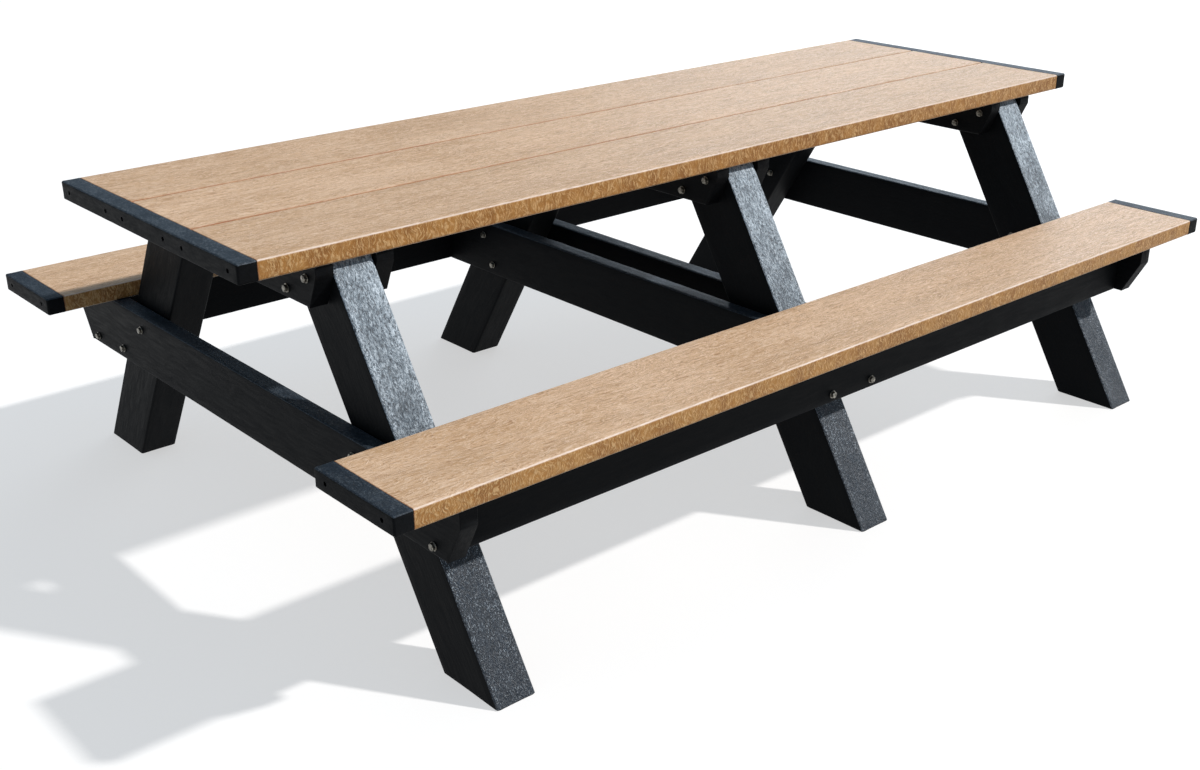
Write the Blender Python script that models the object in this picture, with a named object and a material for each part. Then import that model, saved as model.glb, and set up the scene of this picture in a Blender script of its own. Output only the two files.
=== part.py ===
"""Picnic table with attached seats, built from recycled plastic lumber.

Three A-frames carry a three-plank top and one plank seat on each side. Each
frame is two splayed legs clamped between a pair of top boards, with seat
beams bolted across the legs. Aprons run along under the seats.

Metres, +Z up. The origin is on the ground under the middle of the table.
+X runs along the table, and -Y is one of the two seat sides.
"""
import math

import bmesh
import bpy
from mathutils import Matrix, Vector

# ---- Driving sizes -------------------------------------------------------
GAP = 0.0003              # clearance kept between pieces that touch

LENGTH = 2.4384           # 8 ft, over the end caps
PLANK_WIDTH = 0.2365
PLANK_THICK = 0.038
PLANK_SPACING = 0.004     # joint between neighbouring top planks
CAP_LENGTH = 0.038
TOP_HEIGHT = 0.757
SEAT_HEIGHT = 0.455
SEAT_EDGE_Y = 0.789       # outer edge of the seat

FRAME_X = 0.988           # end frames, from the middle
BOARD_THICK = 0.038
LEG_THICK = 0.087
LEG_WIDTH = 0.138
LEG_TOP_Y = 0.253         # leg centre line under the top
LEG_FOOT_Y = 0.7025       # leg centre line on the ground

TOP_BOARD_HEIGHT = 0.085
TOP_BOARD_HALF = 0.352
TOP_BOARD_NOSE = 0.020    # upright part of the board's end
TOP_BOARD_CHAMFER = 0.030

BEAM_HEIGHT = 0.1355
BEAM_HALF = 0.752
BEAM_NOSE = 0.055
BEAM_CHAMFER = 0.042

APRON_FACE_Y = 0.691      # outer face of the apron

EDGE = 0.004              # rounding of boards and planks
LEG_EDGE = 0.006
CAP_EDGE = 0.006
CAP_CORNER = 0.010        # upright outer corners of a cap

BOLT_R = 0.0040           # 5/16 in shank
BOLT_HOLE_R = 0.0044
WASHER_R = 0.0087
WASHER_THICK = 0.0016
HEAD_R = 0.0070
HEAD_HEIGHT = 0.0052
NUT_HEIGHT = 0.0080
TOP_BOLT_Z = 0.672        # middle of the pair through a leg's top
TOP_BOLT_OFFSET = (0.036, 0.018)
BEAM_BOLT_UPPER_Z = 0.382
BEAM_BOLT_LOWER_Z = 0.308
END_BEAM_BOLTS = (-0.035, 0.028)      # upper and lower, off the leg's centre line
MIDDLE_BEAM_BOLTS = (0.033, -0.048)
APRON_SCREW_Z = 0.300
APRON_SCREW_LENGTH = 0.085

CAP_SCREW_SPREAD = 0.084  # each side of a plank's middle
CAP_RECESS_R = 0.0046
CAP_RECESS_DEPTH = 0.007
ROUND_SIDES = 12

# ---- Worked-out sizes ----------------------------------------------------
TOP_UNDER = TOP_HEIGHT - PLANK_THICK
SEAT_UNDER = SEAT_HEIGHT - PLANK_THICK
PLANK_PITCH = PLANK_WIDTH + PLANK_SPACING
TOP_WIDTH = 3 * PLANK_WIDTH + 2 * PLANK_SPACING
SEAT_Y = SEAT_EDGE_Y - PLANK_WIDTH / 2
PLANK_LENGTH = LENGTH - 2 * CAP_LENGTH - 2 * GAP
LEG_LEAN = (LEG_FOOT_Y - LEG_TOP_Y) / TOP_UNDER
LEG_HALF_Y = LEG_WIDTH / 2 * math.hypot(1.0, LEG_LEAN)
BOARD_X = LEG_THICK / 2 + GAP + BOARD_THICK / 2
BOARD_FACE = BOARD_X + BOARD_THICK / 2
APRON_Y = APRON_FACE_Y - BOARD_THICK / 2
APRON_BACK_Y = APRON_FACE_Y - BOARD_THICK
FRAMES = {"left": -FRAME_X, "middle": 0.0, "right": FRAME_X}
SIDES = {"front": -1, "rear": 1}

# ---- Materials: base colour, roughness, metallic -------------------------
FINISHES = {
    "tan_lumber": ((0.62, 0.43, 0.26), 0.55, 0.0),
    "black_lumber": ((0.022, 0.023, 0.025), 0.48, 0.0),
    "bolt_steel": ((0.55, 0.54, 0.52), 0.38, 1.0),
}


def clear_scene():
    for obj in list(bpy.data.objects):
        bpy.data.objects.remove(obj, do_unlink=True)


def material(name):
    found = bpy.data.materials.get(name)
    if found:
        return found
    color, roughness, metallic = FINISHES[name]
    made = bpy.data.materials.new(name)
    made.use_nodes = True
    shader = made.node_tree.nodes["Principled BSDF"]
    shader.inputs["Base Color"].default_value = (*color, 1.0)
    shader.inputs["Roughness"].default_value = roughness
    shader.inputs["Metallic"].default_value = metallic
    return made


def add_object(name, bm, finish, location=(0.0, 0.0, 0.0)):
    bmesh.ops.recalc_face_normals(bm, faces=bm.faces[:])
    mesh = bpy.data.meshes.new(name)
    bm.to_mesh(mesh)
    bm.free()
    mesh.shade_smooth()
    mesh.set_sharp_from_angle(angle=math.radians(50))
    obj = bpy.data.objects.new(name, mesh)
    obj.location = location
    bpy.context.collection.objects.link(obj)
    if finish:
        mesh.materials.append(material(finish))
    return obj


def box_mesh(size):
    bm = bmesh.new()
    bmesh.ops.create_cube(bm, size=1.0, matrix=Matrix.Diagonal((*size, 1.0)))
    return bm


def prism_mesh(outline, thickness):
    """Extrude a closed (y, z) outline through thickness along X."""
    bm = bmesh.new()
    ring = [bm.verts.new((-thickness / 2, y, z)) for y, z in outline]
    face = bm.faces.new(ring)
    grown = bmesh.ops.extrude_face_region(bm, geom=[face])
    moved = [item for item in grown["geom"] if isinstance(item, bmesh.types.BMVert)]
    bmesh.ops.translate(bm, verts=moved, vec=(thickness, 0.0, 0.0))
    return bm


def round_edges(bm, radius, segments=2, pick=None):
    edges = [edge for edge in bm.edges if pick is None or pick(edge)]
    bmesh.ops.bevel(bm, geom=edges, offset=radius, offset_type="OFFSET",
                    segments=segments, profile=0.5, affect="EDGES", clamp_overlap=True)


def cut_holes(obj, holes):
    """Cut round holes, each (centre, radius, depth), running along X."""
    bm = bmesh.new()
    for centre, radius, depth in holes:
        turn = Matrix.Translation(centre) @ Matrix.Rotation(math.pi / 2, 4, "Y")
        bmesh.ops.create_cone(bm, cap_ends=True, segments=ROUND_SIDES, radius1=radius,
                              radius2=radius, depth=depth, matrix=turn)
    cutter = add_object(obj.name + "_cutter", bm, None)
    cutter.hide_render = True
    cutter.display_type = "WIRE"
    modifier = obj.modifiers.new("holes", "BOOLEAN")
    modifier.operation = "DIFFERENCE"
    modifier.solver = "EXACT"
    modifier.object = cutter


# ---- Planks and caps -----------------------------------------------------
def plank(name, y, top_z):
    bm = box_mesh((PLANK_LENGTH, PLANK_WIDTH, PLANK_THICK))
    long_edge = lambda edge: abs(edge.verts[0].co.x - edge.verts[1].co.x) > PLANK_WIDTH
    round_edges(bm, EDGE, segments=3, pick=long_edge)
    return add_object(name, bm, "tan_lumber", (0.0, y, top_z - PLANK_THICK / 2))


def cap(name, end, y, width, top_z, screw_ys):
    """End strip across the planks; end is -1 or +1 along X."""
    bm = box_mesh((CAP_LENGTH, width, PLANK_THICK))

    def is_outer_corner(edge):
        low, high = edge.verts[0].co, edge.verts[1].co
        upright = abs(low.z - high.z) > PLANK_THICK / 2
        return upright and low.x * end > 0

    round_edges(bm, CAP_CORNER, segments=3, pick=is_outer_corner)
    on_inner_face = lambda edge: all(v.co.x * end < -CAP_LENGTH * 0.49 for v in edge.verts)
    sharp = lambda edge: edge.calc_face_angle(0.0) > math.radians(50)
    round_edges(bm, CAP_EDGE / 2, segments=2,
                pick=lambda edge: sharp(edge) and not on_inner_face(edge))
    x = end * (LENGTH - CAP_LENGTH) / 2
    obj = add_object(name, bm, "black_lumber", (x, y, top_z - PLANK_THICK / 2))
    depth = 2 * CAP_RECESS_DEPTH
    face_x = end * LENGTH / 2
    height = top_z - PLANK_THICK / 2
    cut_holes(obj, [(Vector((face_x, sy, height)), CAP_RECESS_R, depth) for sy in screw_ys])
    return obj


def cap_screws(plank_y):
    return [plank_y - CAP_SCREW_SPREAD, plank_y + CAP_SCREW_SPREAD]


def build_tabletop():
    rows = {"front": -PLANK_PITCH, "middle": 0.0, "rear": PLANK_PITCH}
    for row, y in rows.items():
        plank("top_plank_" + row, y, TOP_HEIGHT)
    screws = [sy for y in rows.values() for sy in cap_screws(y)]
    for end_name, end in (("left", -1), ("right", 1)):
        cap("top_end_cap_" + end_name, end, 0.0, TOP_WIDTH, TOP_HEIGHT, screws)


def build_seats():
    for side, sign in SIDES.items():
        y = sign * SEAT_Y
        plank("seat_plank_" + side, y, SEAT_HEIGHT)
        for end_name, end in (("left", -1), ("right", 1)):
            cap(f"seat_end_cap_{side}_{end_name}", end, y, PLANK_WIDTH, SEAT_HEIGHT, cap_screws(y))


# ---- A-frames ------------------------------------------------------------
def leg_centre_y(z):
    return LEG_FOOT_Y - LEG_LEAN * z


def top_bolt_places(sign):
    """(y, z) of the two bolts through a leg's top, outer one first."""
    y = leg_centre_y(TOP_BOLT_Z)
    dy, dz = TOP_BOLT_OFFSET
    return [(sign * (y + dy), TOP_BOLT_Z + dz), (sign * (y - dy), TOP_BOLT_Z - dz)]


def beam_bolt_places(frame, sign):
    """(y, z) of the two bolts that hold a leg to the seat beams, upper one first."""
    offsets = MIDDLE_BEAM_BOLTS if frame == "middle" else END_BEAM_BOLTS
    heights = (BEAM_BOLT_UPPER_Z, BEAM_BOLT_LOWER_Z)
    return [(sign * (leg_centre_y(z) + off), z) for z, off in zip(heights, offsets)]


def through(places, x, thickness):
    return [(Vector((x, y, z)), BOLT_HOLE_R, thickness + 0.01) for y, z in places]


def leg(frame, side):
    sign = SIDES[side]
    top = TOP_UNDER - GAP
    top_y = leg_centre_y(top)
    outline = [
        (sign * (LEG_FOOT_Y - LEG_HALF_Y), 0.0),
        (sign * (LEG_FOOT_Y + LEG_HALF_Y), 0.0),
        (sign * (top_y + LEG_HALF_Y), top),
        (sign * (top_y - LEG_HALF_Y), top),
    ]
    bm = prism_mesh(outline, LEG_THICK)
    below_top = lambda edge: min(v.co.z for v in edge.verts) < top / 2
    round_edges(bm, LEG_EDGE, segments=3, pick=below_top)
    x = FRAMES[frame]
    obj = add_object(f"leg_{frame}_{side}", bm, "black_lumber", (x, 0.0, 0.0))
    places = top_bolt_places(sign) + beam_bolt_places(frame, sign)
    cut_holes(obj, through(places, x, LEG_THICK))


def nosed_outline(half, bottom, top, nose, chamfer):
    """Board outline with both ends cut away underneath."""
    return [
        (-half + chamfer, bottom),
        (half - chamfer, bottom),
        (half, top - nose),
        (half, top),
        (-half, top),
        (-half, top - nose),
    ]


def top_board(frame, face):
    """One of the pair that clamps the leg tops; face is -1 or +1 along X."""
    top = TOP_UNDER - GAP
    outline = nosed_outline(TOP_BOARD_HALF, TOP_UNDER - TOP_BOARD_HEIGHT, top,
                            TOP_BOARD_NOSE, TOP_BOARD_CHAMFER)
    bm = prism_mesh(outline, BOARD_THICK)
    round_edges(bm, EDGE)
    x = FRAMES[frame] + face * BOARD_X
    side_name = "left" if face < 0 else "right"
    obj = add_object(f"top_board_{frame}_{side_name}", bm, "black_lumber", (x, 0.0, 0.0))
    places = top_bolt_places(-1) + top_bolt_places(1)
    cut_holes(obj, through(places, x, BOARD_THICK))


def seat_beam(frame, face):
    """Beam across both legs that carries the seats; face is -1 or +1 along X."""
    top = SEAT_UNDER - GAP
    bottom = SEAT_UNDER - BEAM_HEIGHT
    places = beam_bolt_places(frame, -1) + beam_bolt_places(frame, 1)
    if frame == "middle":
        half = APRON_BACK_Y - GAP
        outline = [(-half, bottom), (half, bottom), (half, top), (-half, top)]
    else:
        outline = nosed_outline(BEAM_HALF, bottom, top, BEAM_NOSE, BEAM_CHAMFER)
        places += [(sign * APRON_Y, APRON_SCREW_Z) for sign in SIDES.values()]
    bm = prism_mesh(outline, BOARD_THICK)
    round_edges(bm, EDGE)
    x = FRAMES[frame] + face * BOARD_X
    name = f"seat_beam_{frame}"
    if frame == "middle":
        name += "_left" if face < 0 else "_right"
    obj = add_object(name, bm, "black_lumber", (x, 0.0, 0.0))
    cut_holes(obj, through(places, x, BOARD_THICK))


def apron(side):
    """Board on edge under a seat, between the two end beams."""
    half = FRAME_X + LEG_THICK / 2
    y = SIDES[side] * APRON_Y
    middle_z = SEAT_UNDER - GAP - (BEAM_HEIGHT - GAP) / 2
    bm = box_mesh((2 * half, BOARD_THICK, BEAM_HEIGHT - GAP))
    round_edges(bm, EDGE)
    obj = add_object("seat_apron_" + side, bm, "black_lumber", (0.0, y, middle_z))
    depth = 2 * (APRON_SCREW_LENGTH - BOARD_THICK + GAP)
    ends = [Vector((end * half, y, APRON_SCREW_Z)) for end in (-1, 1)]
    cut_holes(obj, [(centre, BOLT_HOLE_R, depth) for centre in ends])


# ---- Fasteners -----------------------------------------------------------
def turned(name, profile, x, y, z, direction):
    """Revolve (distance along the axis, radius) points about a line along X."""
    bm = bmesh.new()
    rings = []
    for along, radius in profile:
        ring = []
        for step in range(ROUND_SIDES):
            angle = 2 * math.pi * step / ROUND_SIDES
            point = (along * direction, radius * math.cos(angle), radius * math.sin(angle))
            ring.append(bm.verts.new(point))
        rings.append(ring)
    for lower, upper in zip(rings, rings[1:]):
        for step in range(ROUND_SIDES):
            after = (step + 1) % ROUND_SIDES
            bm.faces.new((lower[step], lower[after], upper[after], upper[step]))
    bm.faces.new(rings[0])
    bm.faces.new(rings[-1])
    return add_object(name, bm, "bolt_steel", (x, y, z))


def bolt(name, x_head, x_nut, y, z):
    """Bolt with head, two washers and nut, clamping x_head to x_nut."""
    direction = 1 if x_nut > x_head else -1
    grip = abs(x_nut - x_head) + GAP
    profile = [
        (-GAP - WASHER_THICK - HEAD_HEIGHT, HEAD_R),
        (-GAP - WASHER_THICK, HEAD_R),
        (-GAP - WASHER_THICK, WASHER_R),
        (-GAP, WASHER_R),
        (-GAP, BOLT_R),
        (grip, BOLT_R),
        (grip, WASHER_R),
        (grip + WASHER_THICK, WASHER_R),
        (grip + WASHER_THICK, HEAD_R),
        (grip + WASHER_THICK + NUT_HEIGHT, HEAD_R),
    ]
    turned(name, profile, x_head, y, z, direction)


def lag_screw(name, x_head, direction, y, z):
    profile = [
        (-GAP - WASHER_THICK - HEAD_HEIGHT, HEAD_R),
        (-GAP - WASHER_THICK, HEAD_R),
        (-GAP - WASHER_THICK, WASHER_R),
        (-GAP, WASHER_R),
        (-GAP, BOLT_R),
        (APRON_SCREW_LENGTH - BOLT_R, BOLT_R),
        (APRON_SCREW_LENGTH - GAP, BOLT_R / 3),
    ]
    turned(name, profile, x_head, y, z, direction)


def frame_bolts(frame):
    x = FRAMES[frame]
    beam_far = BOARD_FACE if frame in ("middle", "right") else LEG_THICK / 2
    beam_near = -BOARD_FACE if frame in ("middle", "left") else -LEG_THICK / 2
    for side, sign in SIDES.items():
        for place, (y, z) in zip(("outer", "inner"), top_bolt_places(sign)):
            bolt(f"top_bolt_{frame}_{side}_{place}", x - BOARD_FACE, x + BOARD_FACE, y, z)
        for place, (y, z) in zip(("upper", "lower"), beam_bolt_places(frame, sign)):
            ends = (x + beam_near, x + beam_far)
            head, nut = reversed(ends) if frame == "right" else ends
            bolt(f"beam_bolt_{frame}_{side}_{place}", head, nut, y, z)


def apron_screws():
    for end_name, end in (("left", -1), ("right", 1)):
        x = end * (FRAME_X + BOARD_FACE)
        for side, sign in SIDES.items():
            lag_screw(f"apron_screw_{end_name}_{side}", x, -end, sign * APRON_Y, APRON_SCREW_Z)


def build_frame(frame):
    for side in SIDES:
        leg(frame, side)
    for face in (-1, 1):
        top_board(frame, face)
    beam_faces = {"left": (-1,), "middle": (-1, 1), "right": (1,)}[frame]
    for face in beam_faces:
        seat_beam(frame, face)
    frame_bolts(frame)


def main():
    clear_scene()
    build_tabletop()
    build_seats()
    for frame in FRAMES:
        build_frame(frame)
    for side in SIDES:
        apron(side)
    apron_screws()


main()
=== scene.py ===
"""Looks for the picnic table: plastic lumber in detail, hex bolts, floor, light and camera.

Everything is in metres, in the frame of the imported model: the origin is on
the ground under the middle of the table, +X runs along it and +Z is up. Each
detailed piece stands in the place of its CAD node and stays inside its box.
"""

import math

import bmesh
import bpy
from mathutils import Matrix, Vector, noise


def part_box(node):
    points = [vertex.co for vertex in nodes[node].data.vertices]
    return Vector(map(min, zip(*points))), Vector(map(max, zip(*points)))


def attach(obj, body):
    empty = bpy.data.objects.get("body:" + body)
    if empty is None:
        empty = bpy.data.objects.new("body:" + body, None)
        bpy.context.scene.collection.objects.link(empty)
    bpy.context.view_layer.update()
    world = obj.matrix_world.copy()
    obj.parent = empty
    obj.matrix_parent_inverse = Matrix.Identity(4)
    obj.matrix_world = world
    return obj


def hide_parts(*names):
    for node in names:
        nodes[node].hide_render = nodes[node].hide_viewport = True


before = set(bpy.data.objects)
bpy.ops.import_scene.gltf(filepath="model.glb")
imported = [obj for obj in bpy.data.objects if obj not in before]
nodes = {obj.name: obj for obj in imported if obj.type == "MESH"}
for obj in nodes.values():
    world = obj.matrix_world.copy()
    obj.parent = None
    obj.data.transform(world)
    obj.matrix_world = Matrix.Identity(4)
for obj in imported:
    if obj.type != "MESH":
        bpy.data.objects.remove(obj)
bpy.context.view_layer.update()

# ---- Sizes shared with the CAD model --------------------------------------
GAP = 0.0003
LEG_TOP_Y = 0.253         # leg centre line under the tabletop
LEG_FOOT_Y = 0.7025       # leg centre line on the ground
LEG_WIDTH = 0.138
TOP_BOARD_NOSE = 0.020    # upright part of a board's sawn end
TOP_BOARD_CHAMFER = 0.030
BEAM_NOSE = 0.055
BEAM_CHAMFER = 0.042
SHANK_R = 0.0040
HOLE_R = 0.0044
WASHER_R = 0.0087
WASHER_THICK = 0.0016
HEAD_HEIGHT = 0.0052
NUT_SPACE = 0.0080        # nut and the bolt end that stands out of it
CAP_SCREW_SPREAD = 0.084  # from a plank's middle to its two cap screws
RECESS_R = 0.0046
RECESS_DEPTH = 0.007
LAG_LENGTH = 0.085

# ---- Finer shape -----------------------------------------------------------
PLANK_EDGE = 0.0045       # rounding of factory edges
JOINT_EDGE = 0.0026       # the same where two planks meet
BOARD_EDGE = 0.0045
LEG_EDGE = 0.0050
CAP_EDGE = 0.0035
CAP_CORNER = 0.0045
SAWN_EDGE = 0.0009        # eased edge of a saw cut
SEAM_EDGE = 0.0008        # edges where a plank and its end cap meet
END_STAIN = 0.0025        # dark line on a plank next to its end cap
SINK = 0.0005             # how far a face dips between its edges
WAVE = 0.00035            # long waves left by the extruder
WAVE_CELLS = (3.0, 14.0)  # noise cells per metre, along a piece and across it
DENT = 0.0005             # knocks along the edges
DENT_CELLS = (55.0, 40.0)
DENT_LEVEL = 0.15         # noise below this leaves no dent
BORDER_FALL = 2.2         # how fast the border of a face fades towards its middle
ARC_STEPS = 4
STEP = 0.014              # distance between sections
NOSE_STEP = 0.006         # the same on a sawn slope
PLANK_SIDES = (12, 3)     # faces over the first and second side of a section
BOARD_SIDES = (3, 8)
LEG_SIDES = (6, 8)
CAP_SIDES = (4, 4)
SHARP_ANGLE = 38          # degrees; steeper edges are shaded sharp
SEED_STEP = 7.3           # moves the noise from one piece to the next
TONE_STEP = 0.618034      # golden section, so that neighbours differ

HEAD_FLATS = 0.0127       # across flats, 5/16 in bolt
HEAD_FACE = 0.96          # chamfered face of a head or nut, as a share of its flats
HEAD_SLOPE = 30           # degrees
NUT_HEIGHT = 0.0062
WASHER_EASE = 0.0004      # rounding of a washer's rim, along it and across it
WASHER_DRAW = 0.0005
BOLT_EASE = 0.0006        # chamfer on a bolt's end
HEX_STEPS = 48
HEAD_SPIN = 1.3           # turn of a head in radians, times its node's number
MIDDLE_SPIN = 40.0        # the same, times a middle screw's x
CAP_SPIN = 9.0            # the same, times a cap screw's place on its plank
MIDDLE_SCREW_Z = 0.301
CAP_SCREW_STAND = 0.0026  # top of a cap screw's head over the floor of its recess
CAP_SCREW_HOLE_R = 0.0023
CAP_SCREW_DEPTH = 0.064   # bottom of its hole below the cap's face
HOLE_SIDES = 24           # facets round a drilled hole
SHAFT_INSET = 0.001       # a bolt's hole stops this far inside the bolt's ends
CUT_SPARE = 0.004         # how far a cut starts outside a face
CUT_OVERLAP = 0.001

# ---- Camera and light, with angles in degrees ------------------------------
CAMERA_PLACE = (-2.2928, -2.5194, 1.5208)
CAMERA_AZIMUTH = -41.39
CAMERA_DOWN = 24.56
CAMERA_ROLL = -0.11
CAMERA_LENS = 44.10
CAMERA_SHIFT = (-0.0101, 0.0371)
SUN_PLACE = (0.585, -0.487, 0.648)   # direction that the key light comes from
SUN_STRENGTH = 3.7
SUN_COLOR = (0.97, 0.985, 1.0)
SUN_ANGLE = 2.5
SKY_COLOR = (0.60, 0.79, 1.0)
SKY_STRENGTH = 0.34
SOFTBOX_AZIMUTH = 65.0               # from +Y towards +X, low behind the table
SOFTBOX_RISE = 13.0
SOFTBOX_FAR = 8.0
SOFTBOX_SIZE = (7.0, 3.4)
SOFTBOX_POWER = 260.0
SOFTBOX_COLOR = (0.80, 0.90, 1.0)
FLOOR_HALF = 200.0
FLOOR_GLOW = 0.56         # keeps the shadows on the floor light


def rgb(red, green, blue):
    return (red, green, blue, 1.0)


# ---- Colours ---------------------------------------------------------------
TAN_DEEP = rgb(0.550, 0.325, 0.165)
TAN_MIDDLE = rgb(0.670, 0.415, 0.230)
TAN_PALE = rgb(0.730, 0.475, 0.290)
TAN_LIGHT = rgb(0.900, 0.650, 0.460)
TAN_DARK = rgb(0.400, 0.205, 0.095)
TAN_FLECK = rgb(0.310, 0.155, 0.070)
# pale of the top edges: wear and a painted highlight
TAN_WEAR_AND_HIGHLIGHT = rgb(0.850, 0.680, 0.560)
TAN_SEAM = rgb(0.330, 0.110, 0.035)
GOLD_DEEP = rgb(0.290, 0.108, 0.012)
GOLD_MIDDLE = rgb(0.440, 0.190, 0.034)
GOLD_PALE = rgb(0.680, 0.400, 0.165)
BLACK_DEEP = rgb(0.0025, 0.0055, 0.0100)
BLACK_BLUE = rgb(0.0060, 0.0120, 0.0205)
BLACK_FIBRE = rgb(0.019, 0.041, 0.068)
# chalk that doubles as a painted sheen of the sun
CHALK_AND_SHEEN = rgb(0.330, 0.385, 0.425)
CHALK_GLINT = rgb(0.740, 0.800, 0.840)
# pale specks: scuffs and painted glints of the sun
SPECK_AND_GLINT = rgb(0.560, 0.610, 0.650)
# painted shade in the creases of the crinkle
CREASE_SHADE = rgb(0.012, 0.016, 0.022)
SHADE_DEEP = rgb(0.0030, 0.0033, 0.0038)
SHADE_MIDDLE = rgb(0.0056, 0.0060, 0.0067)
SHADE_FIBRE = rgb(0.0140, 0.0145, 0.0155)
SHADE_PATCH = rgb(0.0090, 0.0090, 0.0090)
STEEL_GRIME = rgb(0.070, 0.065, 0.055)
STEEL_CLEAN = rgb(0.360, 0.340, 0.295)
FLOOR_LOW = rgb(0.470, 0.445, 0.420)
FLOOR_HIGH = rgb(0.490, 0.465, 0.440)
BACKDROP_COLOR = rgb(0.860, 0.880, 0.900)
SKY_FACING = 0.25         # faces that look up more than this get the lit, weathered copy of the black lumber; the rest get the darker copy, which is painted shade


# ---- Node helpers ----------------------------------------------------------
def node(tree, kind, wires=None, **settings):
    made = tree.nodes.new("ShaderNode" + kind)
    for key, value in settings.items():
        setattr(made, key, value)
    for key, value in (wires or {}).items():
        if isinstance(value, bpy.types.NodeSocket):
            tree.links.new(value, made.inputs[key])
        else:
            made.inputs[key].default_value = value
    return made


def times(tree, vector, scale):
    return node(tree, "VectorMath", {0: vector, 1: scale}, operation="MULTIPLY").outputs[0]


def plus(tree, first, second):
    return node(tree, "VectorMath", {0: first, 1: second}, operation="ADD").outputs[0]


def calc(tree, operation, first, second=0.0, clamp=False):
    made = node(tree, "Math", {0: first, 1: second}, operation=operation, use_clamp=clamp)
    return made.outputs[0]


def remap(tree, value, low, high, to_low=0.0, to_high=1.0, smooth=False):
    wires = {"Value": value, "From Min": low, "From Max": high, "To Min": to_low, "To Max": to_high}
    kind = "SMOOTHSTEP" if smooth else "LINEAR"
    return node(tree, "MapRange", wires, interpolation_type=kind, clamp=True).outputs[0]


def mix(tree, factor, first, second, kind="MIX"):
    made = node(tree, "Mix", {0: factor, 6: first, 7: second}, data_type="RGBA", blend_type=kind)
    return made.outputs[2]


def clouds(tree, vector, scale, detail=2.0, rough=0.5, distortion=0.0):
    """Noise from 0 to 1; scale is the number of cells per metre along each axis."""
    wires = {"Vector": times(tree, vector, scale), "Scale": 1.0, "Detail": detail,
             "Roughness": rough, "Distortion": distortion}
    return node(tree, "TexNoise", wires).outputs[0]


def start_material(name):
    made = bpy.data.materials.new(name)
    made.use_nodes = True
    tree = made.node_tree
    return made, tree, tree.nodes["Principled BSDF"]


def attribute(tree, name):
    """A number stored on the mesh."""
    return node(tree, "Attribute", attribute_name=name).outputs["Fac"]


def coordinate(tree, axis):
    """One coordinate in the frame of the model."""
    return node(tree, "SeparateXYZ", {0: node(tree, "TexCoord").outputs["Object"]}).outputs[axis]


def grain_space(tree, turn=0.0):
    """Model coordinates, turned about X, and shifted by a different amount on each piece."""
    place = node(tree, "TexCoord").outputs["Object"]
    if turn:
        wires = {"Vector": place, "Angle": turn}
        place = node(tree, "VectorRotate", wires, rotation_type="X_AXIS").outputs[0]
    wires = {0: (3.1, 4.7, 5.9), "Scale": attribute(tree, "tone")}
    return plus(tree, place, node(tree, "VectorMath", wires, operation="SCALE").outputs[0])


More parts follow.
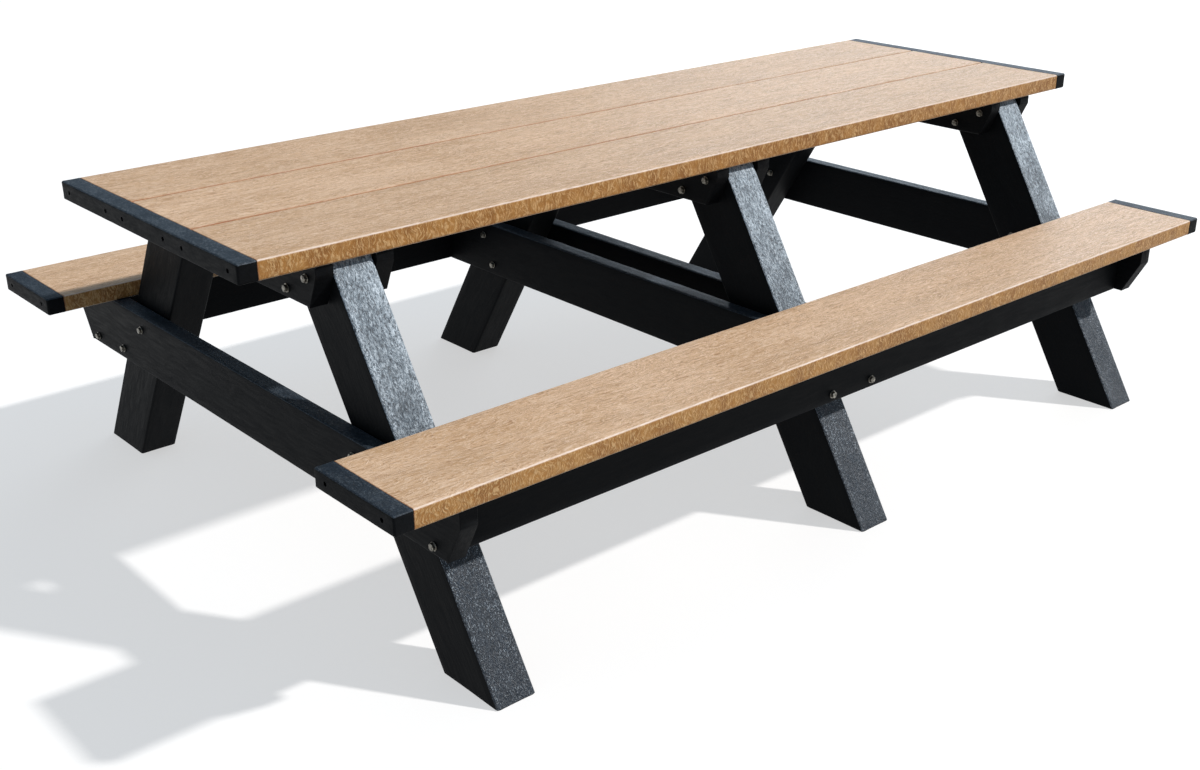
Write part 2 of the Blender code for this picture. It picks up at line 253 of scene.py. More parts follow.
# ---- Materials -------------------------------------------------------------
def tan_lumber():
    """Tan plank lumber: wavy fibres along X, golden mottle on the narrow faces, pale edges."""
    made, tree, shader = start_material("tan_lumber_grain")
    place = grain_space(tree)
    drift = clouds(tree, place, (4.0, 8.0, 8.0), detail=2.0)
    ripple = clouds(tree, place, (26.0, 30.0, 30.0), detail=3.0)
    bend = calc(tree, "ADD", calc(tree, "MULTIPLY", drift, 0.100),
                calc(tree, "MULTIPLY", ripple, 0.016))
    sideways = node(tree, "CombineXYZ", {"Y": bend, "Z": bend}).outputs[0]
    wavy = plus(tree, place, sideways)

    fibre = clouds(tree, wavy, (55.0, 470.0, 470.0), detail=3.0, rough=0.70)
    thread = clouds(tree, wavy, (17.0, 230.0, 230.0), detail=4.0, rough=0.68)
    streak = clouds(tree, wavy, (4.0, 46.0, 46.0), detail=4.0, rough=0.62)
    patch = clouds(tree, place, (3.0, 9.0, 9.0), detail=4.0, rough=0.62)
    fleck = clouds(tree, wavy, (80.0, 400.0, 400.0), detail=1.0)

    color = mix(tree, remap(tree, streak, 0.38, 0.62), TAN_DEEP, TAN_MIDDLE)
    color = mix(tree, remap(tree, patch, 0.40, 0.64, 0.0, 0.75), color, TAN_PALE)
    color = mix(tree, remap(tree, thread, 0.48, 0.33, 0.0, 0.85), color, TAN_DARK)
    color = mix(tree, remap(tree, thread, 0.53, 0.66, 0.0, 0.60), color, TAN_LIGHT)
    color = mix(tree, remap(tree, fibre, 0.52, 0.66, 0.0, 0.85), color, TAN_LIGHT)
    color = mix(tree, remap(tree, fleck, 0.36, 0.24, 0.0, 0.80), color, TAN_FLECK)

    # The golden mottle of the narrow faces.
    normal = node(tree, "NewGeometry").outputs["Normal"]
    facing = node(tree, "SeparateXYZ", {0: normal}).outputs["Z"]
    narrow = remap(tree, calc(tree, "ABSOLUTE", facing), 0.72, 0.40, smooth=True)
    sway = node(tree, "CombineXYZ", {"X": calc(tree, "MULTIPLY", ripple, 0.040)}).outputs[0]
    drip = clouds(tree, plus(tree, place, sway), (330.0, 330.0, 95.0), detail=3.0, rough=0.68,
                  distortion=0.25)
    stain = clouds(tree, place, (26.0, 26.0, 12.0), detail=4.0, rough=0.6)
    gold = mix(tree, remap(tree, stain, 0.38, 0.62), GOLD_DEEP, GOLD_MIDDLE)
    gold = mix(tree, remap(tree, drip, 0.48, 0.62, 0.0, 0.85), gold, GOLD_PALE)
    color = mix(tree, narrow, color, gold)

    # Edges pale on top, from wear and a painted highlight on the rounding; joints and plank ends
    # stained dark, most near the left end, fading towards +X as painted light.
    wear_and_highlight = calc(tree, "MULTIPLY", attribute(tree, "edge"),
                remap(tree, thread, 0.35, 0.60, 0.45, 1.0))
    wear_and_highlight = calc(tree, "MULTIPLY", wear_and_highlight, remap(tree, facing, 0.10, 0.60), clamp=True)
    color = mix(tree, wear_and_highlight, color, TAN_WEAR_AND_HIGHLIGHT)
    # The dark stain in the joints is dirt; its fading towards +X stands in for glints on the far
    # joints, which is painted light.
    from_left = calc(tree, "ABSOLUTE", calc(tree, "ADD", coordinate(tree, "X"), 1.2))
    dirt_and_light = remap(tree, from_left, 0.5, 2.0, 0.85, 0.30)
    dirt_and_light = calc(tree, "MULTIPLY", dirt_and_light, remap(tree, streak, 0.36, 0.60, 1.10, 0.60))
    dirt_and_light = calc(tree, "MULTIPLY", attribute(tree, "seam"), dirt_and_light, clamp=True)
    color = mix(tree, dirt_and_light, color, TAN_SEAM)
    shade = mix(tree, attribute(tree, "tone"), rgb(0.93, 0.93, 0.92), rgb(1.03, 1.03, 1.03))
    color = mix(tree, 1.0, color, shade, "MULTIPLY")
    tree.links.new(color, shader.inputs["Base Color"])

    rough = remap(tree, fibre, 0.25, 0.75, 0.62, 0.42)
    rough = calc(tree, "ADD", rough, remap(tree, patch, 0.3, 0.7, -0.04, 0.06))
    tree.links.new(rough, shader.inputs["Roughness"])
    shader.inputs["IOR"].default_value = 1.50

    along = calc(tree, "ADD", thread, fibre)
    height = node(tree, "Mix", {0: narrow, 2: along, 3: calc(tree, "MULTIPLY", drip, 1.4)},
                  data_type="FLOAT").outputs[0]
    bump = node(tree, "Bump", {"Height": height, "Distance": 0.0012, "Strength": 0.9})
    tree.links.new(bump.outputs[0], shader.inputs["Normal"])
    return made


def bent_space(tree, turn):
    """Grain coordinates of the black lumber, straight and slightly bent."""
    place = grain_space(tree, turn)
    bend = calc(tree, "MULTIPLY", clouds(tree, place, (9.0, 9.0, 9.0)), 0.03)
    shift = node(tree, "CombineXYZ", {axis: bend for axis in "XYZ"}).outputs[0]
    return place, plus(tree, place, shift)


def black_noises(tree, place, wavy, across):
    """The fibres, streaks and patches that both finishes of the black lumber share."""
    fibre = clouds(tree, wavy, [value ** 0.5 * 420.0 for value in across], detail=3.0, rough=0.65)
    streak = clouds(tree, wavy, [value * 150.0 for value in across], detail=3.0, rough=0.6)
    patch = clouds(tree, place, (14.0, 14.0, 14.0), detail=3.0, rough=0.6)
    return fibre, streak, patch


def lit_weathered_black(name, across, turn, scuff_and_sheen):
    """Black lumber where it faces the sky: the lit copy, scuffed, glossy and crinkled, with painted
    sheen, painted glints and pale specks.

    across scales the noise along each axis, so its smallest number lies along the grain.
    The last argument runs from 0, nearly new, to 1, chalky, and also sets how much painted sheen,
    glints, specks and crease shade the piece gets.
    """
    made, tree, shader = start_material(name)
    place, wavy = bent_space(tree, turn)
    fibre, streak, patch = black_noises(tree, place, wavy, across)
    crinkle = clouds(tree, wavy, [value ** 0.35 * 230.0 for value in across], detail=4.0,
                     rough=0.72, distortion=0.4)
    pebble = clouds(tree, wavy, [value ** 0.30 * 520.0 for value in across], detail=2.0,
                    rough=0.6, distortion=0.15)
    upper_share = remap(tree, coordinate(tree, "Z"), 0.24, 0.62)
    ground_fade = remap(tree, coordinate(tree, "Z"), 0.0, 0.45, 0.35, 1.0)

    # Blue-black streaks under paler fibres, which fade towards the ground.
    color = mix(tree, remap(tree, streak, 0.35, 0.68), BLACK_DEEP, BLACK_BLUE)
    pale = calc(tree, "MULTIPLY", remap(tree, fibre, 0.50, 0.64), scuff_and_sheen ** 0.5 * 0.8)
    pale = calc(tree, "MULTIPLY", pale, ground_fade)
    color = mix(tree, pale, color, BLACK_FIBRE)
    # Chalk, which also paints the sun's sheen, and painted glints, on the upper parts only.
    chalk_and_sheen = remap(tree, patch, 0.30, 0.70, 0.45 * scuff_and_sheen, scuff_and_sheen)
    chalk_and_sheen = calc(tree, "MULTIPLY", upper_share, chalk_and_sheen)
    color = mix(tree, chalk_and_sheen, color, CHALK_AND_SHEEN)
    glint = calc(tree, "MULTIPLY", remap(tree, crinkle, 0.53, 0.62), chalk_and_sheen)
    color = mix(tree, glint, color, CHALK_GLINT)
    # Painted shade in the creases of the crinkle, then pale specks, part scuffs and part painted
    # glints, which are thickest along the rims of a face.
    crease_shade = calc(tree, "MULTIPLY", remap(tree, crinkle, 0.47, 0.41), scuff_and_sheen)
    crease_shade = calc(tree, "MULTIPLY", crease_shade, ground_fade)
    color = mix(tree, crease_shade, color, CREASE_SHADE)
    rim = calc(tree, "ADD", attribute(tree, "edge"), attribute(tree, "border"))
    spread = calc(tree, "ADD", remap(tree, patch, 0.40, 0.62, 0.35, 1.0), rim, clamp=True)
    spread = calc(tree, "MULTIPLY", spread, ground_fade)
    speck_and_glint = calc(tree, "ADD", pebble, calc(tree, "MULTIPLY", spread, 0.07))
    speck_and_glint = calc(tree, "MULTIPLY", remap(tree, speck_and_glint, 0.62, 0.66), spread)
    speck_and_glint = calc(tree, "MULTIPLY", speck_and_glint, scuff_and_sheen)
    color = mix(tree, speck_and_glint, color, SPECK_AND_GLINT)
    tree.links.new(color, shader.inputs["Base Color"])

    gloss = 0.50 - 0.20 * scuff_and_sheen
    rough = remap(tree, streak, 0.30, 0.70, gloss, gloss + 0.12)
    rough = calc(tree, "ADD", rough, calc(tree, "MULTIPLY", speck_and_glint, 0.10))
    tree.links.new(rough, shader.inputs["Roughness"])
    shader.inputs["Specular IOR Level"].default_value = 0.18 + 0.40 * scuff_and_sheen

    height = calc(tree, "ADD", calc(tree, "MULTIPLY", fibre, 0.5),
                  calc(tree, "MULTIPLY", pebble, 0.7))
    height = calc(tree, "ADD", height, calc(tree, "MULTIPLY", crinkle, 1.5))
    wires = {"Height": height, "Distance": 0.0004 + 0.0014 * scuff_and_sheen, "Strength": 1.0}
    tree.links.new(node(tree, "Bump", wires).outputs[0], shader.inputs["Normal"])
    return made


def shade_copy_black(name, across, turn):
    """Black lumber on faces that don't look up: the darker copy, which is painted shade; deep
    black, matt, with a fine grain.
    """
    made, tree, shader = start_material(name)
    place, wavy = bent_space(tree, turn)
    fibre, streak, patch = black_noises(tree, place, wavy, across)
    color = mix(tree, remap(tree, streak, 0.35, 0.68), SHADE_DEEP, SHADE_MIDDLE)
    color = mix(tree, remap(tree, fibre, 0.56, 0.75, 0.0, 0.4), color, SHADE_FIBRE)
    color = mix(tree, remap(tree, patch, 0.45, 0.75, 0.0, 0.4), color, SHADE_PATCH)
    tree.links.new(color, shader.inputs["Base Color"])
    tree.links.new(remap(tree, streak, 0.30, 0.70, 0.46, 0.62), shader.inputs["Roughness"])
    shader.inputs["Specular IOR Level"].default_value = 0.05
    height = calc(tree, "ADD", calc(tree, "MULTIPLY", fibre, 0.6), streak)
    bump = node(tree, "Bump", {"Height": height, "Distance": 0.0006, "Strength": 0.8})
    tree.links.new(bump.outputs[0], shader.inputs["Normal"])
    return made


def black_lumber(name, across, turn, scuff_and_sheen):
    """Both finishes of one grain direction: the darker copy with painted shade first, then the lit,
    weathered one.
    """
    return [shade_copy_black(name + "_shade_copy", across, turn),
            lit_weathered_black(name + "_lit_weathered", across, turn, scuff_and_sheen)]


def bolt_steel():
    """Dull stainless steel with light scratches and grime."""
    made, tree, shader = start_material("bolt_steel_brushed")
    place = grain_space(tree)
    grime = clouds(tree, place, (260.0, 260.0, 260.0), detail=3.0, rough=0.6)
    scratch = clouds(tree, place, (300.0, 2400.0, 700.0), detail=2.0)
    color = mix(tree, remap(tree, grime, 0.38, 0.66), STEEL_GRIME, STEEL_CLEAN)
    tree.links.new(color, shader.inputs["Base Color"])
    rough = remap(tree, grime, 0.30, 0.70, 0.52, 0.30)
    tree.links.new(rough, shader.inputs["Roughness"])
    shader.inputs["Metallic"].default_value = 1.0
    bump = node(tree, "Bump", {"Height": scratch, "Distance": 0.00006, "Strength": 0.6})
    tree.links.new(bump.outputs[0], shader.inputs["Normal"])
    return made


def floor_paint():
    """Plain pale floor that glows a little."""
    made, tree, shader = start_material("studio_floor")
    place = node(tree, "TexCoord").outputs["Object"]
    cloud = clouds(tree, place, (1.5, 1.5, 1.5), detail=3.0)
    color = mix(tree, cloud, FLOOR_LOW, FLOOR_HIGH)
    tree.links.new(color, shader.inputs["Base Color"])
    shader.inputs["Roughness"].default_value = 0.9
    shader.inputs["Emission Color"].default_value = rgb(1.0, 1.0, 1.0)
    shader.inputs["Emission Strength"].default_value = FLOOR_GLOW
    return made


# ---- Mesh helpers ----------------------------------------------------------
def rounded_section(low, high, radii, sides):
    """Points round a rectangle, each (a, b, outward a, outward b, dip, edge).

    radii are for the corners (low, low), (high, low), (high, high) and
    (low, high). dip is 1 in the middle of a side. edge is 1 in the middle of a
    corner, or -1 if the corner has the radius of a joint between planks.
    """
    centres = [(low[0] + radii[0], low[1] + radii[0]), (high[0] - radii[1], low[1] + radii[1]),
               (high[0] - radii[2], high[1] - radii[2]), (low[0] + radii[3], high[1] - radii[3])]
    arcs = []
    for corner, ((a, b), radius) in enumerate(zip(centres, radii)):
        arc = []
        for step in range(ARC_STEPS + 1):
            angle = math.pi * (1.0 + corner / 2 + step / ARC_STEPS / 2)
            out = (math.cos(angle), math.sin(angle))
            edge = 1.0 - abs(2 * step / ARC_STEPS - 1.0)
            if radius == JOINT_EDGE:
                edge = -min(1.0, 2 * edge)
            arc.append((a + radius * out[0], b + radius * out[1], *out, 0.0, edge))
        arcs.append(arc)
    points = []
    for corner, arc in enumerate(arcs):
        points += arc
        start, end = arc[-1], arcs[(corner + 1) % 4][0]
        count = sides[corner % 2]
        for step in range(1, count):
            share = step / count
            a = start[0] + (end[0] - start[0]) * share
            b = start[1] + (end[1] - start[1]) * share
            points.append((a, b, end[2], end[3], 4 * share * (1 - share), 0.0))
    return points


def cell(cells, along, a, b, seed):
    """The point where noise is read, for noise cells per metre along and across a piece."""
    return Vector((along * cells[0], a * cells[1] + seed, b * cells[1]))


def loft(stations, place, sides, sink, seed):
    """Skin the sections and return them as a mesh.

    A station is (along, low, high, radii) and may add how stained it is, from 0
    to 1. place turns a section's point into a 3-D one.
    """
    bm = bmesh.new()
    wear_and_highlight = bm.verts.layers.float.new("edge")
    seam = bm.verts.layers.float.new("seam")
    border = bm.verts.layers.float.new("border")
    rings = []
    for along, low, high, radii, *stain in stations:
        ring = []
        for a, b, out_a, out_b, dip, edge in rounded_section(low, high, radii, sides):
            wave = WAVE * (0.5 + 0.5 * noise.noise(cell(WAVE_CELLS, along, a, b, seed)))
            knock = max(0.0, noise.noise(cell(DENT_CELLS, along, a, b, seed)) - DENT_LEVEL)
            inward = wave + sink * dip + DENT * max(0.0, edge) * knock
            vertex = bm.verts.new(place(a - out_a * inward, b - out_b * inward, along))
            vertex[wear_and_highlight] = max(0.0, edge)
            vertex[seam] = max(0.0, -edge, *stain)
            vertex[border] = max(0.0, 1.0 - BORDER_FALL * dip)
            ring.append(vertex)
        rings.append(ring)
    for lower, upper in zip(rings, rings[1:]):
        for here in range(len(lower)):
            after = (here + 1) % len(lower)
            bm.faces.new((lower[here], lower[after], upper[after], upper[here]))
    bm.faces.new(rings[0])
    bm.faces.new(rings[-1])
    return bm


def spaced(start, end, step=STEP):
    """Evenly spaced numbers from start to end, about a step apart."""
    count = max(1, round((end - start) / step))
    return [start + (end - start) * index / count for index in range(count + 1)]


def eased(start, end, ease):
    """Sections between two sawn ends, each (along, how far it is drawn in, 1 next to an end)."""
    near, far = start + ease + END_STAIN, end - ease - END_STAIN
    places = [(start, ease, 1.0), (start + ease, 0.0, 1.0)]
    places += [(value, 0.0, 0.0) for value in spaced(near, far)]
    return places + [(end - ease, 0.0, 1.0), (end, ease, 1.0)]


def shrink(low, high, amount):
    """Both corners of a section, drawn in on every side."""
    return [value + amount for value in low], [value - amount for value in high]


def finish_mesh(name, bm, finishes):
    """Make the object; with two finishes, the second is for faces that look up."""
    bmesh.ops.recalc_face_normals(bm, faces=bm.faces[:])
    for face in bm.faces:
        face.material_index = int(len(finishes) > 1 and face.normal.z > SKY_FACING)
    mesh = bpy.data.meshes.new(name)
    bm.to_mesh(mesh)
    bm.free()
    mesh.shade_smooth()
    mesh.set_sharp_from_angle(angle=math.radians(SHARP_ANGLE))
    for finish in finishes:
        mesh.materials.append(finish)
    obj = bpy.data.objects.new(name, mesh)
    bpy.context.scene.collection.objects.link(obj)
    return obj


def drill(obj, holes):
    """Cut round holes, each (start, end, radius)."""
    bm = bmesh.new()
    for start, end, radius in holes:
        start, end = Vector(start), Vector(end)
        turn = (end - start).to_track_quat("Z", "Y").to_matrix().to_4x4()
        place = Matrix.Translation((start + end) / 2) @ turn
        bmesh.ops.create_cone(bm, cap_ends=True, segments=HOLE_SIDES, radius1=radius,
                              radius2=radius, depth=(end - start).length, matrix=place)
    mesh = bpy.data.meshes.new(obj.name + "_cutter")
    bm.to_mesh(mesh)
    bm.free()
    cutter = bpy.data.objects.new(obj.name + "_cutter", mesh)
    bpy.context.scene.collection.objects.link(cutter)
    modifier = obj.modifiers.new("holes", "BOOLEAN")
    modifier.operation = "DIFFERENCE"
    modifier.solver = "EXACT"
    modifier.object = cutter
    bpy.context.view_layer.update()
    graph = bpy.context.evaluated_depsgraph_get()
    cut = bpy.data.meshes.new_from_object(obj.evaluated_get(graph))
    obj.modifiers.clear()
    obj.data = cut
    bpy.data.objects.remove(cutter, do_unlink=True)


def place_piece(obj, node_name, tone):
    """Hand the finished piece to the frame."""
    attribute = obj.data.attributes.new("tone", "FLOAT", "POINT")
    attribute.data.foreach_set("value", [tone] * len(obj.data.vertices))
    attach(obj, "root")
    if node_name:
        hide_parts(node_name)


def tone_of(index):
    """A fixed number from 0 to 1, different for each piece."""
    return (index * TONE_STEP) % 1.0


# ---- Lumber ----------------------------------------------------------------
def along_x(a, b, along):
    return (along, a, b)


def along_y(a, b, along):
    return (a, along, b)


def straight_board(name, finish, radii, sides, ends, seed):
    """Plank or apron that runs along X and fills its node's box."""
    low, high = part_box(name)
    stations = []
    for along, draw, stain in eased(low.x, high.x, ends):
        start, end = shrink((low.y, low.z), (high.y, high.z), draw)
        stations.append((along, start, end, radii, stain))
    return finish_mesh(name + "_lumber", loft(stations, along_x, sides, SINK, seed), finish)


def nosed_board(name, finish, nose, chamfer, seed):
    """Board that runs along Y, with both ends sawn away underneath."""
    low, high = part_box(name)
    half, rise = high.y, high.z - low.z - nose
    start = half - chamfer
    inner = spaced(-start + SAWN_EDGE, start - SAWN_EDGE)
    slope = spaced(start, half - SAWN_EDGE, NOSE_STEP) + [half]
    places = [-value for value in reversed(slope)] + inner + slope
    stations = []
    for along in places:
        share = max(0.0, (abs(along) - start) / chamfer)
        draw = SAWN_EDGE if abs(along) == half else 0.0
        bottom = low.z + rise * share
        under = SAWN_EDGE if abs(along) >= start else BOARD_EDGE
        radii = [under, under, BOARD_EDGE, BOARD_EDGE]
        begin, end = shrink((low.x, bottom), (high.x, high.z), draw)
        stations.append((along, begin, end, radii))
    return finish_mesh(name + "_lumber", loft(stations, along_y, BOARD_SIDES, SINK, seed), finish)


def plain_beam(name, finish, seed):
    """Board that runs along Y with square ends."""
    low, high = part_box(name)
    stations = []
    for along, draw, _ in eased(low.y, high.y, SAWN_EDGE):
        start, end = shrink((low.x, low.z), (high.x, high.z), draw)
        stations.append((along, start, end, [BOARD_EDGE] * 4))
    return finish_mesh(name + "_lumber", loft(stations, along_y, BOARD_SIDES, SINK, seed), finish)


def round_off(radius, reach):
    """How far a rounded edge lies inside its face, at some distance from the end."""
    return radius - math.sqrt(max(0.0, radius ** 2 - max(0.0, radius - reach) ** 2))


def end_cap(name, finish, seed):
    """Strip across plank ends, rounded everywhere but against the planks."""
    low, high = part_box(name)
    outward = -1 if low.x < 0 else 1
    turns = [math.radians(angle) for angle in range(0, 91, 15)]
    near = [CAP_CORNER * (1 - math.cos(turn)) for turn in turns]
    inner = spaced(low.y + CAP_CORNER, high.y - CAP_CORNER)[1:-1]
    places = [low.y + value for value in near] + inner + [high.y - value for value in near[::-1]]
    stations = []
    for along in places:
        reach = min(along - low.y, high.y - along)
        side, ends = round_off(CAP_CORNER, reach), round_off(CAP_EDGE, reach)
        start, end = [low.x, low.z + ends], [high.x, high.z - ends]
        if outward < 0:
            start[0] += side
            radii = [CAP_EDGE, SEAM_EDGE, SEAM_EDGE, CAP_EDGE]
        else:
            end[0] -= side
            radii = [SEAM_EDGE, CAP_EDGE, CAP_EDGE, SEAM_EDGE]
        stations.append((along, start, end, radii))
    return finish_mesh(name + "_lumber", loft(stations, along_y, CAP_SIDES, SINK / 2, seed), finish)


def leg_centre(height, top):
    """Distance of a leg's centre line from the middle of the table at some height."""
    return LEG_FOOT_Y - (LEG_FOOT_Y - LEG_TOP_Y) * height / top


def leg(name, finish, seed):
    """Splayed post; its sections are level, so both ends are sawn level."""
    low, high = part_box(name)
    sign = -1 if low.y + high.y < 0 else 1
    top = high.z + GAP
    half = LEG_WIDTH / 2 * math.hypot(1.0, (LEG_FOOT_Y - LEG_TOP_Y) / top)

    def place(a, b, along):
        return (a, sign * leg_centre(along, top) + b, along)

    ease = 2 * SAWN_EDGE
    stations = []
    for along, draw, _ in eased(low.z, high.z, ease):
        start, end = shrink((low.x, -half), (high.x, half), draw)
        stations.append((along, start, end, [LEG_EDGE] * 4))
    return finish_mesh(name + "_lumber", loft(stations, place, LEG_SIDES, SINK, seed), finish)


# ---- Fasteners -------------------------------------------------------------
def hex_radius(angle):
    """Distance of a head's flats from its middle in some direction."""
    sector = angle % (math.pi / 3) - math.pi / 6
    return HEAD_FLATS / 2 / math.cos(sector)


def hex_rings(top, base):
    """Rings of a hex head or nut from its chamfered top at along=top to its base."""
    face = HEAD_FLATS / 2 * HEAD_FACE
    down = 1 if base > top else -1
    tip = [(top, face)] * HEX_STEPS
    side, foot = [], []
    for step in range(HEX_STEPS):
        radius = hex_radius(2 * math.pi * step / HEX_STEPS)
        side.append((top + down * (radius - face) * math.tan(math.radians(HEAD_SLOPE)), radius))
        foot.append((base, radius))
    return [tip, side, foot]


def level(along, radius):
    """A round, flat ring."""
    return [(along, radius)] * HEX_STEPS


def washer_rings(start, end):
    """Rings over a washer from its head side to the side that lies on the board."""
    down = 1 if end > start else -1
    ease = WASHER_EASE * down
    return [level(start, WASHER_R - WASHER_DRAW), level(start + ease, WASHER_R),
            level(end - ease, WASHER_R), level(end, WASHER_R - WASHER_DRAW)]


def turned_piece(name, rings, base, direction, finish, spin):
    """Skin the rings round a line from base along direction."""
    turn = Vector(direction).to_track_quat("Z", "Y").to_matrix()
    turn = turn @ Matrix.Rotation(spin, 3, "Z")
    bm = bmesh.new()
    skinned = []
    for ring in rings:
        row = []
        for step, (along, radius) in enumerate(ring):
            angle = 2 * math.pi * step / HEX_STEPS
            point = Vector((radius * math.cos(angle), radius * math.sin(angle), along))
            row.append(bm.verts.new(Vector(base) + turn @ point))
        skinned.append(row)
    for lower, upper in zip(skinned, skinned[1:]):
        for here in range(HEX_STEPS):
            after = (here + 1) % HEX_STEPS
            bm.faces.new((lower[here], lower[after], upper[after], upper[here]))
    bm.faces.new(skinned[0])
    bm.faces.new(skinned[-1])
    return finish_mesh(name, bm, finish)


def bolt(name, finish, head_sign, index):
    """Hex bolt along X with a washer under its head and under its nut."""
    low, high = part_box(name)
    centre = (low + high) / 2
    length = high.x - low.x
    start = low.x if head_sign < 0 else high.x
    grip_start = HEAD_HEIGHT + WASHER_THICK
    grip_end = length - NUT_SPACE - WASHER_THICK
    nut_base = length - NUT_SPACE
    nut_top = nut_base + NUT_HEIGHT
    rings = hex_rings(0.0, HEAD_HEIGHT) + washer_rings(HEAD_HEIGHT, grip_start)
    rings += [level(grip_start, SHANK_R), level(grip_end, SHANK_R)]
    rings += washer_rings(nut_base, grip_end)[::-1] + hex_rings(nut_top, nut_base)[::-1]
    rings += [level(nut_top, SHANK_R), level(length - BOLT_EASE, SHANK_R),
              level(length, SHANK_R - BOLT_EASE)]
    base = (start, centre.y, centre.z)
    spin = index * HEAD_SPIN
    return turned_piece(name + "_steel", rings, base, (-head_sign, 0, 0), finish, spin)


def lag_rings():
    """Hex head, washer and plain shank with a tapered tip."""
    grip = HEAD_HEIGHT + WASHER_THICK
    tip = grip + GAP + LAG_LENGTH
    rings = hex_rings(0.0, HEAD_HEIGHT) + washer_rings(HEAD_HEIGHT, grip)
    return rings + [level(grip, SHANK_R), level(tip - 3 * SHANK_R, SHANK_R),
                    level(tip - GAP, SHANK_R / 4)]


def square_radius(angle, half):
    """Distance of a square's sides from its middle in some direction."""
    return half / max(abs(math.cos(angle)), abs(math.sin(angle)))


def cap_screw_rings():
    """Small screw with a square drive, from the bottom of the drive outwards."""
    head, shank, drive, depth = 0.0040, 0.0021, 0.0013, 0.0016
    socket = [square_radius(2 * math.pi * step / HEX_STEPS, drive) for step in range(HEX_STEPS)]
    return [[(depth, radius * 0.9) for radius in socket], [(0.0002, radius) for radius in socket],
            level(0.0, head * 0.55), level(0.0005, head * 0.86), level(0.0013, head),
            level(0.0021, head), level(0.0024, head * 0.6), level(0.0040, shank),
            level(0.0500, shank), level(0.0560, 0.0006)]


# ---- Build -----------------------------------------------------------------
tan = [tan_lumber()]
steel = [bolt_steel()]
lean = math.atan2(LEG_FOOT_Y - LEG_TOP_Y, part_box("leg_left_front")[1].z + GAP)
black_x = black_lumber("black_lumber_along_x", (0.08, 1.0, 1.0), 0.0, 0.10)
black_y = black_lumber("black_lumber_along_y", (1.0, 0.08, 1.0), 0.0, 0.10)
black_cap = black_lumber("black_lumber_cap", (1.0, 0.25, 1.0), 0.0, 0.09)
black_legs = {
    "front": black_lumber("black_lumber_leg_front", (1.0, 1.0, 0.10), lean, 0.80),
    "rear": black_lumber("black_lumber_leg_rear", (1.0, 1.0, 0.10), -lean, 0.80),
}


def middle_of(name):
    """Centre of a CAD node's box."""
    low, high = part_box(name)
    return (low + high) / 2


def is_fastener(name):
    return "bolt" in name or "screw" in name


def build_node(name, index, seed):
    """Make the detailed piece for one CAD node and return it with its slot."""
    if "plank" in name:
        front = PLANK_EDGE if "front" in name or "seat" in name else JOINT_EDGE
        rear = PLANK_EDGE if "rear" in name or "seat" in name else JOINT_EDGE
        radii = [front, rear, rear, front]
        return straight_board(name, tan, radii, PLANK_SIDES, SEAM_EDGE, seed), "tan_lumber"
    if name.startswith("apron_screw"):
        low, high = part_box(name)
        middle = middle_of(name)
        sign = -1 if middle.x < 0 else 1
        base = (low.x if sign < 0 else high.x, middle.y, middle.z)
        spin = index * HEAD_SPIN
        screw = turned_piece(name + "_steel", lag_rings(), base, (-sign, 0, 0), steel, spin)
        return screw, "bolt_steel"
    if "bolt" in name:
        head_sign = 1 if name.startswith("beam_bolt_right") else -1
        return bolt(name, steel, head_sign, index), "bolt_steel"
    if "cap" in name:
        obj = end_cap(name, black_cap, seed)
    elif name.startswith("leg_"):
        obj = leg(name, black_legs[name.split("_")[-1]], seed)
    elif name.startswith("top_board"):
        obj = nosed_board(name, black_y, TOP_BOARD_NOSE, TOP_BOARD_CHAMFER, seed)
    elif name.startswith("seat_beam_middle"):
        obj = plain_beam(name, black_y, seed)
    elif name.startswith("seat_beam"):
        obj = nosed_board(name, black_y, BEAM_NOSE, BEAM_CHAMFER, seed)
    else:
        obj = straight_board(name, black_x, [BOARD_EDGE] * 4, BOARD_SIDES, SAWN_EDGE, seed)
    return obj, "black_lumber"


def note_shank(holes, start, end):
    """Note a shank's hole for every board whose box it crosses."""
    low = [min(a, b) - SHANK_R / 2 for a, b in zip(start, end)]
    high = [max(a, b) + SHANK_R / 2 for a, b in zip(start, end)]
    for name, cuts in holes.items():
        box_low, box_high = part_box(name)
        if all(high[i] > box_low[i] and low[i] < box_high[i] for i in range(3)):
            cuts.append((start, end, HOLE_R))


def middle_screws(holes):
    """Lag screws through the aprons into the middle frame's beams; CAD leaves them out."""
    made = []
    for side, sign in (("front", -1), ("rear", 1)):
        apron_low, apron_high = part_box("seat_apron_" + side)
        face = apron_low.y if sign < 0 else apron_high.y
        for end_name in ("left", "right"):
            x = middle_of("seat_beam_middle_" + end_name).x
            outside = sign * (HEAD_HEIGHT + WASHER_THICK + GAP)
            base = Vector((x, face + outside, MIDDLE_SCREW_Z))
            inside = Vector((x, face - sign * LAG_LENGTH, MIDDLE_SCREW_Z))
            name = f"apron_screw_middle_{side}_{end_name}_steel"
            spin = x * MIDDLE_SPIN
            made.append(turned_piece(name, lag_rings(), base, (0, -sign, 0), steel, spin))
            note_shank(holes, base, inside)
    return made


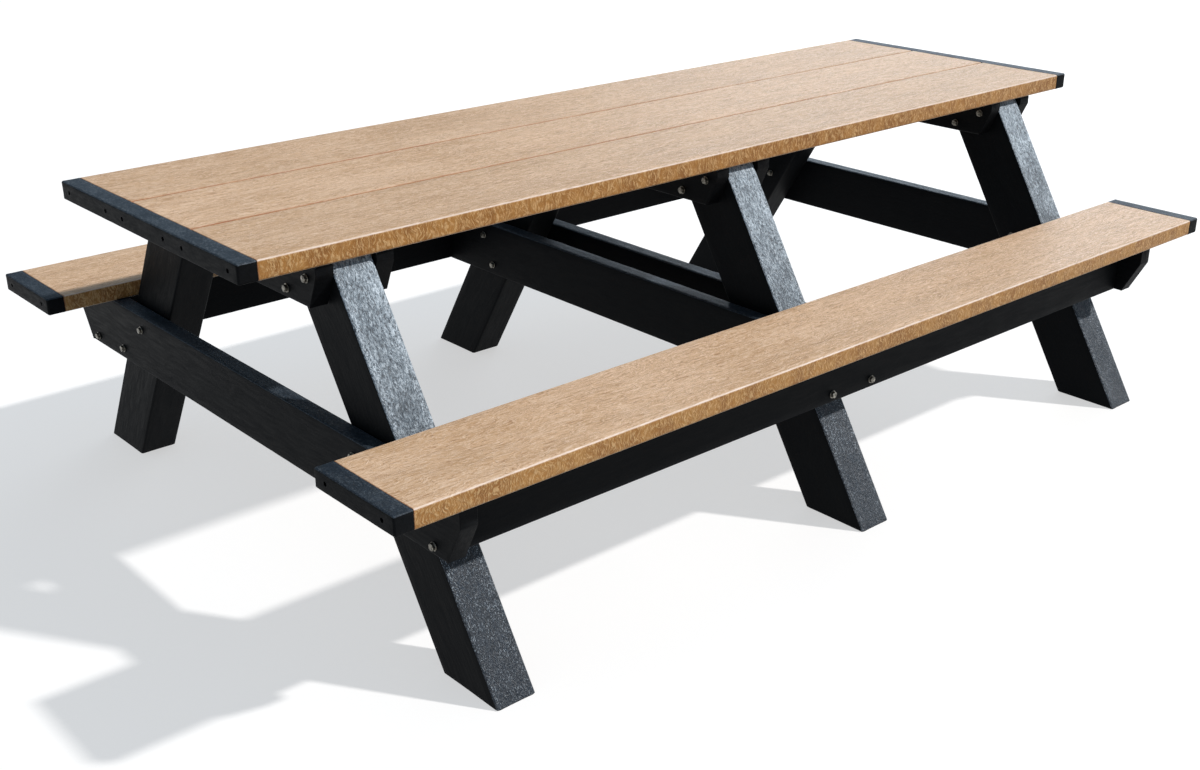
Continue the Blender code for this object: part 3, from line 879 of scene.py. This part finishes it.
def cap_screw(holes, cap_name, plank_name, end, number):
    """One screw through an end cap into a plank, in its recess; end is -1 left or 1 right."""
    low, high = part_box(cap_name)
    face = low.x if end < 0 else high.x
    spread = number * CAP_SCREW_SPREAD
    y, z = middle_of(plank_name).y + spread, middle_of(cap_name).z
    outer = Vector((face + end * CUT_SPARE, y, z))
    bottom = Vector((face - end * RECESS_DEPTH, y, z))
    above = bottom + Vector((end * CUT_OVERLAP, 0, 0))
    tip = Vector((face - end * CAP_SCREW_DEPTH, y, z))
    holes[cap_name] += [(outer, bottom, RECESS_R), (above, tip, CAP_SCREW_HOLE_R)]
    holes[plank_name].append((bottom, tip, CAP_SCREW_HOLE_R))

    kind, side, row = cap_name.split("_")[0], cap_name.split("_")[-1], plank_name.split("_")[-1]
    name = f"cap_screw_{kind}_{side}_{row}_{1 if number < 0 else 2}"
    base = Vector((face - end * (RECESS_DEPTH - CAP_SCREW_STAND), y, z))
    return turned_piece(name, cap_screw_rings(), base, (-end, 0, 0), steel, spread * CAP_SPIN)


def cap_screws(holes):
    """Two screws through an end cap into each plank; CAD leaves them out."""
    made = []
    for side, end in (("left", -1), ("right", 1)):
        pairs = [("top_end_cap_" + side, "top_plank_" + row) for row in ("front", "middle", "rear")]
        pairs += [(f"seat_end_cap_{row}_{side}", "seat_plank_" + row) for row in ("front", "rear")]
        for cap_name, plank_name in pairs:
            for number in (-1, 1):
                made.append(cap_screw(holes, cap_name, plank_name, end, number))
    return made


pieces = {}
for index, name in enumerate(sorted(nodes)):
    obj, slot = build_node(name, index, index * SEED_STEP)
    pieces[name] = (obj, slot, tone_of(index))

# Every bolt and screw has a hole where its shank runs.
holes = {name: [] for name in pieces if not is_fastener(name)}
for name in filter(is_fastener, pieces):
    reach = (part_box(name)[1].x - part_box(name)[0].x) / 2 - SHAFT_INSET
    inset = Vector((reach, 0, 0))
    note_shank(holes, middle_of(name) - inset, middle_of(name) + inset)
extra = middle_screws(holes) + cap_screws(holes)

for name, cuts in holes.items():
    if cuts:
        drill(pieces[name][0], cuts)

for name, (obj, slot, tone) in pieces.items():
    place_piece(obj, name, tone)
for index, obj in enumerate(extra):
    place_piece(obj, None, tone_of(index))

# ---- Floor, light and camera -----------------------------------------------
scene = bpy.context.scene
floor_mesh = bpy.data.meshes.new("floor")
corners = [(-FLOOR_HALF, -FLOOR_HALF, 0), (FLOOR_HALF, -FLOOR_HALF, 0),
           (FLOOR_HALF, FLOOR_HALF, 0), (-FLOOR_HALF, FLOOR_HALF, 0)]
floor_mesh.from_pydata(corners, [], [(0, 1, 2, 3)])
floor_mesh.materials.append(floor_paint())
floor = bpy.data.objects.new("floor", floor_mesh)
scene.collection.objects.link(floor)
floor.visible_diffuse = False    # the ground outdoors lights the underside far less

sun_data = bpy.data.lights.new("key_light", "SUN")
sun_data.energy = SUN_STRENGTH
sun_data.color = SUN_COLOR
sun_data.angle = math.radians(SUN_ANGLE)
sun = bpy.data.objects.new("key_light", sun_data)
sun.rotation_euler = Vector(SUN_PLACE).to_track_quat("Z", "Y").to_euler()
scene.collection.objects.link(sun)

box_data = bpy.data.lights.new("back_softbox", "AREA")
box_data.shape = "RECTANGLE"
box_data.size, box_data.size_y = SOFTBOX_SIZE
box_data.energy = SOFTBOX_POWER
box_data.color = SOFTBOX_COLOR
softbox = bpy.data.objects.new("back_softbox", box_data)
azimuth, rise = math.radians(SOFTBOX_AZIMUTH), math.radians(SOFTBOX_RISE)
towards = Vector((math.sin(azimuth) * math.cos(rise), math.cos(azimuth) * math.cos(rise),
                  math.sin(rise)))
softbox.location = towards * SOFTBOX_FAR
softbox.rotation_euler = towards.to_track_quat("Z", "Y").to_euler()
scene.collection.objects.link(softbox)

world = bpy.data.worlds.new("studio")
world.use_nodes = True
sky = world.node_tree.nodes["Background"]
sky.inputs["Color"].default_value = rgb(*SKY_COLOR)
sky.inputs["Strength"].default_value = SKY_STRENGTH
backdrop = world.node_tree.nodes.new("ShaderNodeBackground")
backdrop.inputs["Color"].default_value = BACKDROP_COLOR
seen = world.node_tree.nodes.new("ShaderNodeLightPath")
blend = world.node_tree.nodes.new("ShaderNodeMixShader")
world.node_tree.links.new(seen.outputs["Is Camera Ray"], blend.inputs[0])
world.node_tree.links.new(sky.outputs[0], blend.inputs[1])
world.node_tree.links.new(backdrop.outputs[0], blend.inputs[2])
world.node_tree.links.new(blend.outputs[0], world.node_tree.nodes["World Output"].inputs[0])
scene.world = world

camera_data = bpy.data.cameras.new("camera")
camera_data.lens = CAMERA_LENS
camera_data.shift_x, camera_data.shift_y = CAMERA_SHIFT
camera = bpy.data.objects.new("camera", camera_data)
camera.matrix_world = (Matrix.Translation(CAMERA_PLACE)
                       @ Matrix.Rotation(math.radians(CAMERA_AZIMUTH), 4, "Z")
                       @ Matrix.Rotation(math.radians(90 - CAMERA_DOWN), 4, "X")
                       @ Matrix.Rotation(math.radians(CAMERA_ROLL), 4, "Z"))
scene.collection.objects.link(camera)
scene.camera = camera
scene.view_settings.view_transform = "Standard"
